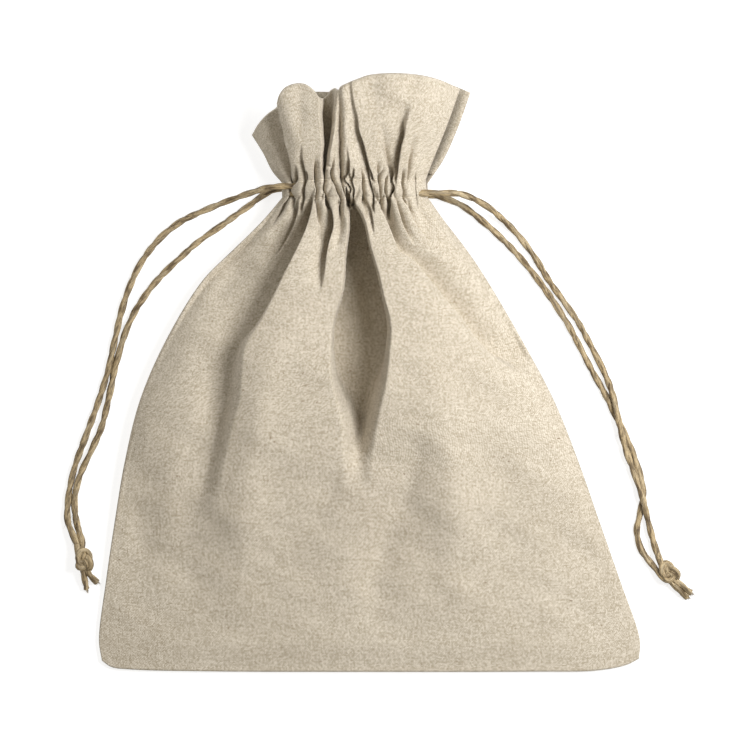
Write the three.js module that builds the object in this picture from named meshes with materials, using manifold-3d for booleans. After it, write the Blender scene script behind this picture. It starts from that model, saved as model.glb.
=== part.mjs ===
// A drawstring gift pouch of linen cloth, lying on its back with its neck drawn closed.
// Millimetres, +Z up, +Y from the bottom seam towards the mouth, +X to the right seen from above.
// The origin lies under the middle of the cloth, on the surface that the pouch rests on.
//
// Two cloth panels are seamed together at both sides and at the bottom. Each panel is turned in at the top:
// the turned-in facing lines the ruffle and is sewn down by two rows of stitching, with a channel between them.
// Two cords run all the way round in the channels. One leaves at the left and the other at the right,
// and the two strands of each are tied together in a knot, so pulling both closes the neck.

import * as THREE from "three";
import { mergeVertices } from "three/addons/utils/BufferGeometryUtils.js";
import Module from "manifold-3d";

const wasm = await Module();
wasm.setup();

// ---------------------------------------------------------------- driving dimensions

const CLOTH = 1.0; // thickness of a layer of cloth with its small creases
const GAP = 0.35; // clear space kept between neighbouring pieces
const CORD = 2.4; // cord diameter
const CORD_R = CORD / 2;

const BOTTOM_Y = -111.8; // the bottom seam
const NECK_Y = 64; // the channel's lower edge
const CHANNEL_H = 9; // height of the channel between its two rows of stitching
const RUFFLE_Y = NECK_Y + CHANNEL_H; // where the ruffle starts
const NECK_LEFT = -33;
const NECK_RIGHT = 20.5;
const NECK_MID = (NECK_LEFT + NECK_RIGHT) / 2;
const CASING_LEFT = NECK_LEFT + 4.5; // the channels stop short of the slits
const CASING_RIGHT = NECK_RIGHT - 4.5;
const CASING_THICK = 6; // the gathered cloth of one channel
const MOUTH_GAP = 6.5; // free height between the front and back channels
const FRONT_CASING_Z = CASING_THICK + MOUTH_GAP;
const NECK_TOP = FRONT_CASING_Z + CASING_THICK;

const SEAM_WIDTH = 6; // seam allowance turned inside
const THREAD = 0.6; // a row of stitching
const HEM_SHARE = 0.12; // share of the ruffle's half width that a slit hem takes

const LEFT_CORD_Y = NECK_Y + CHANNEL_H / 2 + CORD_R + GAP / 2;
const RIGHT_CORD_Y = NECK_Y + CHANNEL_H / 2 - CORD_R - GAP / 2;
const FRONT_CORD_Z = FRONT_CASING_Z + CASING_THICK / 2;
const BACK_CORD_Z = CASING_THICK / 2;
const FEED = 17; // length of each strand inside the channel that a pull draws out

// ---------------------------------------------------------------- shapes shared by the pieces

const v2 = (x, y) => new THREE.Vector2(x, y);
const v3 = (x, y, z) => new THREE.Vector3(x, y, z);
const mix = THREE.MathUtils.lerp;
const ease = THREE.MathUtils.smoothstep;

// The two side seams seen from above, from the bottom corner to the neck.
const LEFT_SEAM = new THREE.SplineCurve([
  v2(-100.8, BOTTOM_Y + 3),
  v2(-101.6, -101),
  v2(-97, -60),
  v2(-87, -10),
  v2(-69, 26),
  v2(-47, 51),
  v2(NECK_LEFT, NECK_Y - GAP),
]);
const RIGHT_SEAM = new THREE.SplineCurve([
  v2(99.5, BOTTOM_Y + 4),
  v2(101.6, -101),
  v2(86, -55),
  v2(69, -10),
  v2(47, 29),
  v2(30, 54),
  v2(NECK_RIGHT, NECK_Y - GAP),
]);

// The upper edges of the ruffle, from the left slit to the right slit.
const FRONT_RIM = new THREE.CatmullRomCurve3([
  v3(-43, 92, 11),
  v3(-36, 104, 18),
  v3(-26, 109.5, 25),
  v3(-17, 104, 18),
  v3(-4, 108.5, 24),
  v3(11, 112.5, 27),
  v3(25, 110, 24),
  v3(34, 106.5, 17),
]);
const BACK_RIM = new THREE.CatmullRomCurve3([
  v3(-42, 92, 0),
  v3(-30, 104, 0),
  v3(-6, 110, 0),
  v3(20, 110, 0),
  v3(37, 105.5, 0),
]);

// Height of the side seam's middle above the surface, from the bottom (t = 0) to the neck (t = 1).
const seamHeight = (t) => mix(2.6, 7.5, ease(t, 0, 0.8));

// Soft folds of the front panel: where each starts at the neck and dies out below, as shares of the half width.
const FOLDS = [
  { neck: -0.55, base: -0.35, width: 0.13, depth: 5 },
  { neck: 0.0, base: 0.05, width: 0.12, depth: 7 },
  { neck: 0.6, base: 0.55, width: 0.12, depth: 4 },
];

// A point of the panels' plan at u from -1 (left seam) to 1 (right seam) and t from 0 (bottom) to 1 (neck).
function panelPlan(u, t) {
  const left = LEFT_SEAM.getPointAt(t);
  const right = RIGHT_SEAM.getPointAt(t);
  const share = (u + 1) / 2;
  const belly = 4 * (1 - Math.pow(Math.abs(u), 6)) * (1 - ease(t, 0, 0.12));
  return v2(mix(left.x, right.x, share), mix(left.y, right.y, share) - belly);
}

// The front panel's outer face, rising from the seams to its folds.
function frontPanelTop(u, t) {
  const plan = panelPlan(u, t);
  const edge = seamHeight(t) + THREAD / 2 + GAP + CLOTH;
  const neckRise = NECK_TOP - 0.5 - edge;
  const rise = t < 0.55 ? mix(1.5, 15, ease(t, 0, 0.55)) : mix(15, neckRise, ease(t, 0.55, 1));
  const dome = 1 - Math.pow(Math.abs(u), 3);
  let folds = 0;
  for (const fold of FOLDS) {
    const away = (u - mix(fold.base, fold.neck, t)) / fold.width;
    folds += fold.depth * Math.exp(-away * away) * ease(t, 0.25, 0.6) * (1 - ease(t, 0.85, 1));
  }
  return v3(plan.x, plan.y, edge + (rise - folds) * dome);
}

// The back panel's inner face, flat where it rests and turned up at the seams.
function backPanelTop(u, t) {
  const plan = panelPlan(u, t);
  const edge = seamHeight(t) - THREAD / 2 - GAP;
  const turnUp = Math.pow(ease(Math.abs(u), 0.72, 1), 1.5);
  return v3(plan.x, plan.y, mix(CLOTH, edge, turnUp));
}

// A face of the ruffle from the neck (t = 0) to its rim (t = 1).
function ruffleFace(rim, neckZ) {
  return (u, t) => {
    const share = (u + 1) / 2;
    const foot = v3(mix(NECK_LEFT + 1, NECK_RIGHT - 1, share), RUFFLE_Y + GAP, neckZ);
    return foot.lerp(rim.getPoint(share), t);
  };
}
const frontRuffleTop = ruffleFace(FRONT_RIM, NECK_TOP - 0.3);
const backRuffleBottom = ruffleFace(BACK_RIM, 0);

// ---------------------------------------------------------------- geometry helpers

// A closed sheet between the faces top(u, t) and bottom(u, t), over ranges of u and t.
function sheet(top, bottom, [u0, u1], [t0, t1], across, along) {
  const corners = [];
  const faces = [];
  const perSide = (across + 1) * (along + 1);
  for (const face of [top, bottom]) {
    for (let j = 0; j <= along; j++) {
      for (let i = 0; i <= across; i++) {
        const p = face(mix(u0, u1, i / across), mix(t0, t1, j / along));
        corners.push(p.x, p.y, p.z);
      }
    }
  }
  const at = (i, j, side) => side * perSide + j * (across + 1) + i;
  const quad = (a, b, c, d) => faces.push(a, b, c, a, c, d);
  for (let j = 0; j < along; j++) {
    for (let i = 0; i < across; i++) {
      quad(at(i, j, 0), at(i + 1, j, 0), at(i + 1, j + 1, 0), at(i, j + 1, 0));
      quad(at(i, j, 1), at(i, j + 1, 1), at(i + 1, j + 1, 1), at(i + 1, j, 1));
    }
    quad(at(0, j, 0), at(0, j + 1, 0), at(0, j + 1, 1), at(0, j, 1));
    quad(at(across, j, 0), at(across, j, 1), at(across, j + 1, 1), at(across, j + 1, 0));
  }
  for (let i = 0; i < across; i++) {
    quad(at(i, 0, 0), at(i, 0, 1), at(i + 1, 0, 1), at(i + 1, 0, 0));
    quad(at(i, along, 0), at(i + 1, along, 0), at(i + 1, along, 1), at(i, along, 1));
  }
  const geometry = new THREE.BufferGeometry();
  geometry.setAttribute("position", new THREE.Float32BufferAttribute(corners, 3));
  geometry.setIndex(faces);
  geometry.computeVertexNormals();
  return geometry;
}

// The same face moved up by dz.
const moved = (face, dz) => (u, t) => face(u, t).add(v3(0, 0, dz));

// A round cord along a smooth curve through the points, with 8 sides.
function cordTube(points, steps) {
  const section = new THREE.Shape();
  for (let i = 0; i < 8; i++) {
    const a = (i / 8) * 2 * Math.PI;
    const corner = v2(CORD_R * Math.cos(a), CORD_R * Math.sin(a));
    if (i === 0) section.moveTo(corner.x, corner.y);
    else section.lineTo(corner.x, corner.y);
  }
  const path = new THREE.CatmullRomCurve3(points, false, "centripetal");
  return new THREE.ExtrudeGeometry(section, { steps, extrudePath: path, bevelEnabled: false });
}

function solid(geometry) {
  const bare = geometry.clone();
  bare.deleteAttribute("normal");
  bare.deleteAttribute("uv");
  const merged = mergeVertices(bare, 1e-3);
  return new wasm.Manifold(
    new wasm.Mesh({
      numProp: 3,
      vertProperties: merged.attributes.position.array,
      triVerts: new Uint32Array(merged.index.array),
    }),
  );
}

function geometryOf(manifold) {
  const mesh = manifold.getMesh();
  const geometry = new THREE.BufferGeometry();
  geometry.setAttribute("position", new THREE.BufferAttribute(mesh.vertProperties, 3));
  geometry.setIndex(new THREE.BufferAttribute(mesh.triVerts, 1));
  return geometry.toNonIndexed();
}

// ---------------------------------------------------------------- materials

const linen = new THREE.MeshStandardMaterial({ color: 0xc9bda4, roughness: 0.92, metalness: 0 });
const thread = new THREE.MeshStandardMaterial({ color: 0xd3c8b2, roughness: 0.7, metalness: 0 });
const jute = new THREE.MeshStandardMaterial({ color: 0x8a744f, roughness: 0.9, metalness: 0 });

const pouch = new THREE.Group();
pouch.name = "drawstring_pouch";

function add(name, geometry, material) {
  const mesh = new THREE.Mesh(geometry, material);
  mesh.name = name;
  pouch.add(mesh);
}

// ---------------------------------------------------------------- panels and seams

function addPanels() {
  const front = sheet(frontPanelTop, moved(frontPanelTop, -CLOTH), [-1, 1], [0, 1], 24, 18);
  const backUnder = (u, t) => {
    const p = backPanelTop(u, t);
    return v3(p.x, p.y, Math.max(0, p.z - CLOTH));
  };
  const back = sheet(backPanelTop, backUnder, [-1, 1], [0, 1], 20, 14);
  add("front_panel", front, linen);
  add("back_panel", back, linen);
}

// The seam allowances, pressed together inside the pouch between the edges of the panels.
function addSeams() {
  const END_T = 0.985;
  const allowance = (edge, inward) => (u, t) => {
    const p = edge.getPointAt(t);
    return v3(p.x + inward * SEAM_WIDTH * u, p.y, seamHeight(t) + THREAD / 2);
  };
  const left = allowance(LEFT_SEAM, 1);
  const right = (u, t) => allowance(RIGHT_SEAM, -1)(1 - u, t);
  add("left_side_seam", sheet(left, moved(left, -THREAD), [0, 1], [0.05, END_T], 1, 16), thread);
  add("right_side_seam", sheet(right, moved(right, -THREAD), [0, 1], [0.05, END_T], 1, 16), thread);
  const bottom = (u, t) => {
    const p = panelPlan(u, 0);
    return v3(p.x, p.y + SEAM_WIDTH * t, seamHeight(0) + THREAD / 2);
  };
  const bottomUnder = moved(bottom, -THREAD);
  add("bottom_seam", sheet(bottom, bottomUnder, [-0.9, 0.9], [0.05, 0.95], 12, 1), thread);
}

// ---------------------------------------------------------------- channels and their stitching

// A channel: a flattened tube of gathered cloth along X, open at both ends.
function casing(lowZ) {
  const half = CHANNEL_H / 2 - 0.2;
  const outline = new THREE.Shape();
  const r = 1.6;
  const top = CASING_THICK / 2;
  outline.moveTo(-half + r, -top);
  outline.lineTo(half - r, -top);
  outline.quadraticCurveTo(half, -top, half, -top + r);
  outline.lineTo(half, top - r);
  outline.quadraticCurveTo(half, top, half - r, top);
  outline.lineTo(-half + r, top);
  outline.quadraticCurveTo(-half, top, -half, top - r);
  outline.lineTo(-half, -top + r);
  outline.quadraticCurveTo(-half, -top, -half + r, -top);
  const bore = new THREE.Path();
  const boreHalf = CORD + GAP * 2;
  const boreTop = CORD_R + GAP * 1.5;
  bore.moveTo(-boreHalf, -boreTop);
  bore.lineTo(-boreHalf, boreTop);
  bore.lineTo(boreHalf, boreTop);
  bore.lineTo(boreHalf, -boreTop);
  bore.closePath();
  outline.holes.push(bore);
  const depth = CASING_RIGHT - CASING_LEFT;
  const made = new THREE.ExtrudeGeometry(outline, { depth, bevelEnabled: false, curveSegments: 3 });
  // The section's x becomes Y, its y becomes Z, and the extrusion runs along X.
  const turn = new THREE.Matrix4().makeBasis(v3(0, 1, 0), v3(0, 0, 1), v3(1, 0, 0));
  made.applyMatrix4(turn);
  return made.translate(CASING_LEFT, NECK_Y + CHANNEL_H / 2, lowZ + CASING_THICK / 2);
}

function stitchRow(y, z) {
  const length = CASING_RIGHT - CASING_LEFT - 2;
  return new THREE.BoxGeometry(length, THREAD, THREAD).translate(
    (CASING_LEFT + CASING_RIGHT) / 2,
    y,
    z,
  );
}

function addChannels() {
  add("front_casing", casing(FRONT_CASING_Z), linen);
  add("back_casing", casing(0), linen);
  const lower = NECK_Y + 2;
  const upper = RUFFLE_Y - 2;
  const frontZ = NECK_TOP + GAP + THREAD / 2;
  const backZ = CASING_THICK + GAP + THREAD / 2;
  add("front_lower_stitching", stitchRow(lower, frontZ), thread);
  add("front_upper_stitching", stitchRow(upper, frontZ), thread);
  add("back_lower_stitching", stitchRow(lower, backZ), thread);
  add("back_upper_stitching", stitchRow(upper, backZ), thread);
}

// ---------------------------------------------------------------- ruffle

function addRuffle() {
  const layer = CLOTH + 2 * GAP;
  const full = [-1, 1];
  const inner = [-0.84, 0.84];
  const up = [0, 1];
  const hemUp = [0.04, 0.96];
  const hems = { left: [-0.98, -0.98 + HEM_SHARE], right: [0.98 - HEM_SHARE, 0.98] };
  const front = (dz) => moved(frontRuffleTop, dz);
  const back = (dz) => moved(backRuffleBottom, dz);

  add("front_ruffle", sheet(front(0), front(-CLOTH), full, up, 20, 5), linen);
  add("front_facing", sheet(front(-layer), front(-layer - CLOTH), inner, hemUp, 16, 5), linen);
  add("back_ruffle", sheet(back(CLOTH), back(0), full, up, 14, 4), linen);
  add("back_facing", sheet(back(layer + CLOTH), back(layer), inner, hemUp, 12, 4), linen);
  for (const [side, range] of Object.entries(hems)) {
    const frontHem = sheet(front(-layer), front(-layer - THREAD), range, hemUp, 2, 5);
    const backHem = sheet(back(layer + THREAD), back(layer), range, hemUp, 2, 4);
    add("front_" + side + "_slit_hem", frontHem, thread);
    add("back_" + side + "_slit_hem", backHem, thread);
  }
}

// ---------------------------------------------------------------- cords

const FLOOR = CORD_R + 0.15; // height of a strand's middle where it lies on the surface
const OVER = FLOOR + CORD + 0.3; // and where it passes over another strand

const LEFT_FRONT_ROUTE = [
  v3(CASING_LEFT + FEED, LEFT_CORD_Y, FRONT_CORD_Z),
  v3(CASING_LEFT + FEED / 2, LEFT_CORD_Y, FRONT_CORD_Z),
  v3(CASING_LEFT, LEFT_CORD_Y, FRONT_CORD_Z),
  v3(-37, 69.6, 14.2),
  v3(-47, 67, 10),
  v3(-60, 62.4, 5),
  v3(-72, 57, 1.8),
  v3(-80, 50.5, FLOOR),
  v3(-86.6, 42, FLOOR),
  v3(-91.4, 32, FLOOR),
  v3(-94.6, 22, FLOOR),
  v3(-97.6, 10, FLOOR),
  v3(-99.8, 0, FLOOR),
  v3(-104, -13.2, FLOOR),
  v3(-108.9, -26.5, FLOOR),
  v3(-112.8, -37.5, FLOOR),
  v3(-114.6, -48, FLOOR),
  v3(-114.4, -55.5, 1.6),
  v3(-113, -60.5, 2.4),
  v3(-111, -64.6, 3.2),
];
const LEFT_BACK_ROUTE = [
  v3(CASING_LEFT + FEED, LEFT_CORD_Y, BACK_CORD_Z),
  v3(CASING_LEFT + FEED / 2, LEFT_CORD_Y, BACK_CORD_Z),
  v3(CASING_LEFT, LEFT_CORD_Y, BACK_CORD_Z),
  v3(-37, 69, 2.2),
  v3(-48, 61.8, FLOOR),
  v3(-56, 56, FLOOR),
  v3(-65.4, 49.4, FLOOR),
  v3(-73.7, 42, FLOOR),
  v3(-82, 33.6, FLOOR),
  v3(-88.6, 24.2, FLOOR),
  v3(-93, 14, FLOOR),
  v3(-96, 3, FLOOR),
  v3(-98.9, -10, FLOOR),
  v3(-101.9, -20.7, FLOOR),
  v3(-106, -30.1, FLOOR),
  v3(-109.9, -39.2, FLOOR),
  v3(-111.7, -48.5, FLOOR),
  v3(-110.6, -57.5, FLOOR),
  v3(-108.3, -65.2, 2.2),
];
const RIGHT_FRONT_ROUTE = [
  v3(CASING_RIGHT - FEED, RIGHT_CORD_Y, FRONT_CORD_Z),
  v3(CASING_RIGHT - FEED / 2, RIGHT_CORD_Y, FRONT_CORD_Z),
  v3(CASING_RIGHT, RIGHT_CORD_Y, FRONT_CORD_Z),
  v3(25, 67.4, 14.4),
  v3(34, 67, 11.5),
  v3(43.2, 63, 7),
  v3(50, 57.6, 3.4),
  v3(56.4, 51, 1.6),
  v3(62.2, 43.2, FLOOR),
  v3(66.8, 35.5, FLOOR),
  v3(71.8, 28.4, FLOOR),
  v3(77.6, 20.2, FLOOR),
  v3(82.9, 10.6, FLOOR),
  v3(88.2, 0, 2),
  v3(91.4, -8, OVER),
  v3(93.4, -18, OVER),
  v3(96, -28.5, OVER),
  v3(99.6, -38.5, OVER),
  v3(102.8, -48.4, OVER),
  v3(104.6, -56, OVER),
  v3(107, -65, 3.4),
  v3(108.8, -70.4, 3.8),
];
const RIGHT_BACK_ROUTE = [
  v3(CASING_RIGHT - FEED, RIGHT_CORD_Y, BACK_CORD_Z),
  v3(CASING_RIGHT - FEED / 2, RIGHT_CORD_Y, BACK_CORD_Z),
  v3(CASING_RIGHT, RIGHT_CORD_Y, BACK_CORD_Z),
  v3(25, 66.8, 2.6),
  v3(34, 63.4, 1.4),
  v3(43, 56.6, FLOOR),
  v3(50.4, 49.8, FLOOR),
  v3(56.8, 43, FLOOR),
  v3(62.4, 36, FLOOR),
  v3(67.8, 28.6, FLOOR),
  v3(73, 20.6, FLOOR),
  v3(77.8, 12, FLOOR),
  v3(83.1, 1.6, FLOOR),
  v3(88.6, -8.4, FLOOR),
  v3(93.4, -18.2, FLOOR),
  v3(98, -28, FLOOR),
  v3(102, -38.5, FLOOR),
  v3(103.4, -46, FLOOR),
  v3(101.6, -53, FLOOR),
  v3(100.4, -60, FLOOR),
  v3(102.2, -67, FLOOR),
  v3(106, -72.2, 2.2),
];

// The rest of each cord, round the whole channel: along the front, round the far slit, and back along the back.
function loopRoute(start, far, y) {
  const bend = (FRONT_CORD_Z - BACK_CORD_Z) / 2;
  const out = Math.sign(far - start);
  const mid = (FRONT_CORD_Z + BACK_CORD_Z) / 2;
  const route = [v3(start, y, FRONT_CORD_Z), v3(mix(start, far, 0.5), y, FRONT_CORD_Z)];
  for (let i = 0; i <= 6; i++) {
    const a = Math.PI * (0.5 - i / 6);
    route.push(v3(far + out * bend * 0.75 * Math.cos(a), y, mid + bend * Math.sin(a)));
  }
  route.push(v3(mix(start, far, 0.5), y, BACK_CORD_Z), v3(start, y, BACK_CORD_Z));
  return route;
}

// A knot of both strands with its two cut ends, as one closed body.
function knot(centre, size, turn, ends) {
  let body = solid(new THREE.SphereGeometry(0.5, 12, 8).scale(...size).rotateZ(turn));
  for (const end of ends) {
    const stub = new THREE.CylinderGeometry(CORD_R, CORD_R, end.length(), 8);
    stub.translate(0, end.length() / 2, 0);
    const toEnd = new THREE.Quaternion().setFromUnitVectors(v3(0, 1, 0), end.clone().normalize());
    body = body.add(solid(stub.applyQuaternion(toEnd)));
  }
  return geometryOf(body).translate(centre.x, centre.y, centre.z);
}

function addCords() {
  const strandSteps = 34;
  add("left_front_strand", cordTube(LEFT_FRONT_ROUTE, strandSteps), jute);
  add("left_back_strand", cordTube(LEFT_BACK_ROUTE, strandSteps), jute);
  add("right_front_strand", cordTube(RIGHT_FRONT_ROUTE, strandSteps + 6), jute);
  add("right_back_strand", cordTube(RIGHT_BACK_ROUTE, strandSteps), jute);

  const leftLoop = loopRoute(CASING_LEFT + FEED + GAP, CASING_RIGHT + 1.6, LEFT_CORD_Y);
  const rightLoop = loopRoute(CASING_RIGHT - FEED - GAP, CASING_LEFT - 1.6, RIGHT_CORD_Y);
  add("left_cord_in_channel", cordTube(leftLoop, 24), jute);
  add("right_cord_in_channel", cordTube(rightLoop, 24), jute);

  const leftEnds = [v3(0.8, -11.6, -2.2), v3(5.6, -7.8, -1.6)];
  const rightEnds = [v3(8.8, -6, -2.2), v3(6.8, -8, -2)];
  add("left_knot", knot(v3(-108.7, -71, 4.2), [9, 10.6, 7.2], 0.2, leftEnds), jute);
  add("right_knot", knot(v3(111.2, -76.2, 4.2), [9, 10.6, 7.2], 0.8, rightEnds), jute);
}

addPanels();
addSeams();
addChannels();
addRuffle();
addCords();

export default pouch;
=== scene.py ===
"""A drawstring gift pouch of linen cloth, lying on its back, seen from straight above."""

import math

import bpy
import numpy as np
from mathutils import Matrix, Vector


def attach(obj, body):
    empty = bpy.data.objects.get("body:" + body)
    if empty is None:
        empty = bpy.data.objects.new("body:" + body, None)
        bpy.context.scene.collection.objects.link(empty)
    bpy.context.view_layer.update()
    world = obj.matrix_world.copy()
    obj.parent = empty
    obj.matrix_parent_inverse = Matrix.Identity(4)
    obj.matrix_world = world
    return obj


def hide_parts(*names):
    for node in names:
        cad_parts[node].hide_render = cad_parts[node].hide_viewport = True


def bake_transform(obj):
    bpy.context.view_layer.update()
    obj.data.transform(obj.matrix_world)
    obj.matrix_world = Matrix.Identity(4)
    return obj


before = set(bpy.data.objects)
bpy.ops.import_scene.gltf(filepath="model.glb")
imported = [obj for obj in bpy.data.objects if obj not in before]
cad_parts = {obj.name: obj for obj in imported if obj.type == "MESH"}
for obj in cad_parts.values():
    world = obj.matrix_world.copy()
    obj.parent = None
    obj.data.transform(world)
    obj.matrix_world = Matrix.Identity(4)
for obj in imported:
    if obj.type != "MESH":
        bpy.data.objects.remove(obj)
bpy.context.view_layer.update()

MM = 0.001
SEED = 5

# ---- camera, light and floor

VIEW_CENTRE = (1.5 * MM, -0.75 * MM)
FIELD = 0.282  # width of the view, at the pouch's middle height
CAMERA_HEIGHT = 1.5
MIDDLE_Z = 8 * MM
SENSOR = 36.0
LIGHT_COLOUR = (0.99, 0.99, 1)
# Each light: where it stands, its diameter and its power.
LIGHTS = {
    "key": ((0.32, 0.10, 0.44), 0.30, 4.0),
    "fill": ((-0.36, 0.42, 0.52), 0.4, 1.1),
}
SKY = ((1, 0.95, 0.86, 1), 0.29)
FLOOR_GREY = (0.42, 0.42, 0.42, 1)
FLOOR_GLOW = 0.76
FLOOR_SIZE = 4


def add_camera():
    data = bpy.data.cameras.new("camera")
    data.sensor_width = SENSOR
    data.lens = SENSOR * (CAMERA_HEIGHT - MIDDLE_Z) / FIELD
    camera = bpy.data.objects.new("camera", data)
    camera.location = (*VIEW_CENTRE, CAMERA_HEIGHT)
    bpy.context.scene.collection.objects.link(camera)
    bpy.context.scene.camera = camera


def add_area_light(name, place, size, watts):
    """A round soft light that points at the pouch's middle."""
    data = bpy.data.lights.new(name, "AREA")
    data.shape = "DISK"
    data.size = size
    data.energy = watts
    data.color = LIGHT_COLOUR
    light = bpy.data.objects.new(name, data)
    light.location = place
    light.rotation_euler = (-Vector(place)).to_track_quat("-Z", "Y").to_euler()
    bpy.context.scene.collection.objects.link(light)


def add_studio():
    for name, (place, size, watts) in LIGHTS.items():
        add_area_light(name, place, size, watts)
    world = bpy.data.worlds.new("studio")
    bpy.context.scene.world = world
    world.use_nodes = True
    background = world.node_tree.nodes["Background"]
    background.inputs["Color"].default_value, background.inputs["Strength"].default_value = SKY
    bpy.ops.mesh.primitive_plane_add(size=FLOOR_SIZE)
    floor = bpy.context.object
    floor.name = "floor"
    material = bpy.data.materials.new("floor_paper")
    material.use_nodes = True
    shader = material.node_tree.nodes["Principled BSDF"]
    shader.inputs["Base Color"].default_value = FLOOR_GREY
    shader.inputs["Roughness"].default_value = 0.9
    shader.inputs["Specular IOR Level"].default_value = 0.1
    # A softly lit table, so the pouch's shadows stay faint as in a product photograph.
    shader.inputs["Emission Color"].default_value = (1, 1, 1, 1)
    shader.inputs["Emission Strength"].default_value = FLOOR_GLOW
    floor.data.materials.append(material)
    bpy.context.scene.view_settings.view_transform = "Standard"


# ---- curves and grids, in millimetres


def smooth_curve(points, steps):
    """A centripetal Catmull-Rom curve through the points, at even distances along it."""
    p = np.asarray(points, float)
    p = np.vstack([2 * p[0] - p[1], p, 2 * p[-1] - p[-2]])
    tiny = 1e-9
    fine = []
    for k in range(1, len(p) - 2):
        p0, p1, p2, p3 = p[k - 1 : k + 3]
        t0 = 0.0
        t1 = t0 + math.sqrt(np.linalg.norm(p1 - p0)) + tiny
        t2 = t1 + math.sqrt(np.linalg.norm(p2 - p1)) + tiny
        t3 = t2 + math.sqrt(np.linalg.norm(p3 - p2)) + tiny
        t = np.linspace(t1, t2, 24, endpoint=False)[:, None]
        a1 = (t1 - t) / (t1 - t0) * p0 + (t - t0) / (t1 - t0) * p1
        a2 = (t2 - t) / (t2 - t1) * p1 + (t - t1) / (t2 - t1) * p2
        a3 = (t3 - t) / (t3 - t2) * p2 + (t - t2) / (t3 - t2) * p3
        b1 = (t2 - t) / (t2 - t0) * a1 + (t - t0) / (t2 - t0) * a2
        b2 = (t3 - t) / (t3 - t1) * a2 + (t - t1) / (t3 - t1) * a3
        fine.append((t2 - t) / (t2 - t1) * b1 + (t - t1) / (t2 - t1) * b2)
    fine = np.vstack(fine + [p[-2][None]])
    run = run_along(fine)
    return along(fine, run, np.linspace(0, run[-1], steps))


def run_along(path):
    """The distance along a path to each of its points."""
    return np.concatenate([[0], np.cumsum(np.linalg.norm(np.diff(path, axis=0), axis=1))])


def along(path, run, places):
    """The path's points at the given distances along it."""
    return np.stack([np.interp(places, run, path[:, c]) for c in range(path.shape[1])], axis=-1)


def ease(x, low, high):
    """A smooth step from 0 at low to 1 at high."""
    t = np.clip((x - low) / (high - low), 0, 1)
    return t * t * (3 - 2 * t)


def patch(left, right, foot, rim, rows, columns):
    """A Coons patch in plan: four edge curves, each from its low end, to a grid of X, Y."""
    left = smooth_curve(left, rows)[:, None, :]
    right = smooth_curve(right, rows)[:, None, :]
    foot = smooth_curve(foot, columns)[None, :, :]
    rim = smooth_curve(rim, columns)[None, :, :]
    a = np.linspace(0, 1, columns)[None, :, None]
    t = np.linspace(0, 1, rows)[:, None, None]
    sides = (1 - a) * left + a * right
    ends = (1 - t) * foot + t * rim
    corners = (1 - t) * ((1 - a) * left[0] + a * right[0]) + t * ((1 - a) * left[-1] + a * right[-1])
    return sides + ends - corners


def nearest(points, x, y, fields):
    """The signed distance of each x, y from a polyline, positive on its right-hand side, the
    vector from the line to the point, and the polyline's own extra values there."""
    p = smooth_curve(points, 60)
    best = np.full(x.shape, math.inf)
    side = np.zeros(x.shape)
    share = np.zeros(x.shape)
    vector = np.zeros((2, *x.shape))
    for k in range(len(p) - 1):
        d = p[k + 1, :2] - p[k, :2]
        n = d @ d + 1e-12
        t = np.clip(((x - p[k, 0]) * d[0] + (y - p[k, 1]) * d[1]) / n, 0, 1)
        ex, ey = x - p[k, 0] - t * d[0], y - p[k, 1] - t * d[1]
        dist = ex * ex + ey * ey
        near = dist < best
        best = np.where(near, dist, best)
        side = np.where(near, np.sign(d[1] * ex - d[0] * ey), side)
        share = np.where(near, (k + t) / (len(p) - 1), share)
        vector = np.where(near, np.stack([ex, ey]), vector)
    extra = [np.interp(share, np.linspace(0, 1, len(p)), p[:, 2 + f]) for f in range(fields)]
    return np.sqrt(best) * side, vector, extra


def within(points, x, y, reach):
    """Which of x, y lie in the box round the points, widened by reach."""
    p = np.array([q[:2] for q in points])
    low, high = p.min(axis=0) - reach, p.max(axis=0) + reach
    return (x > low[0]) & (x < high[0]) & (y > low[1]) & (y < high[1])


def groove(x, y, points):
    """A narrow valley along points (x, y, depth, half width), with rounded shoulders."""
    moved = np.zeros(x.shape)
    here = within(points, x, y, 6 * max(p[3] for p in points))
    away, _, (depth, width) = nearest(points, x[here], y[here], 2)
    moved[here] = -depth / (1 + (away / width) ** 2) ** 1.5
    return moved


def tuck(x, y, points, hollow, undercut=0.32, lip=0.9):
    """A fold lying over a hollow on its "left" or "right": points of (x, y, depth, hollow's width)
    or (x, y, depth, width, lip's softness). The hollow runs in under the lip. Returns how far the
    cloth moves in x, y and z."""
    line = sorted((p if len(p) == 5 else (*p, lip) for p in points), key=lambda p: p[1])
    moved = np.zeros((3, *x.shape))
    here = within(line, x, y, 6 * max(p[3] for p in line))
    away, vector, (depth, width, soft) = nearest(line, x[here], y[here], 3)
    inward = away if hollow == "right" else -away
    start = np.minimum(0, lip - soft) * 0.5
    part = ease(inward, start, start + soft) / (1 + (np.maximum(inward, 0) / width) ** 3)
    under = -undercut * depth * part * np.clip(2 * lip / soft, 0, 1) / (np.abs(away) + 0.3)
    moved[:, here] = np.stack([vector[0] * under, vector[1] * under, -depth * part])
    return moved


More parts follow.
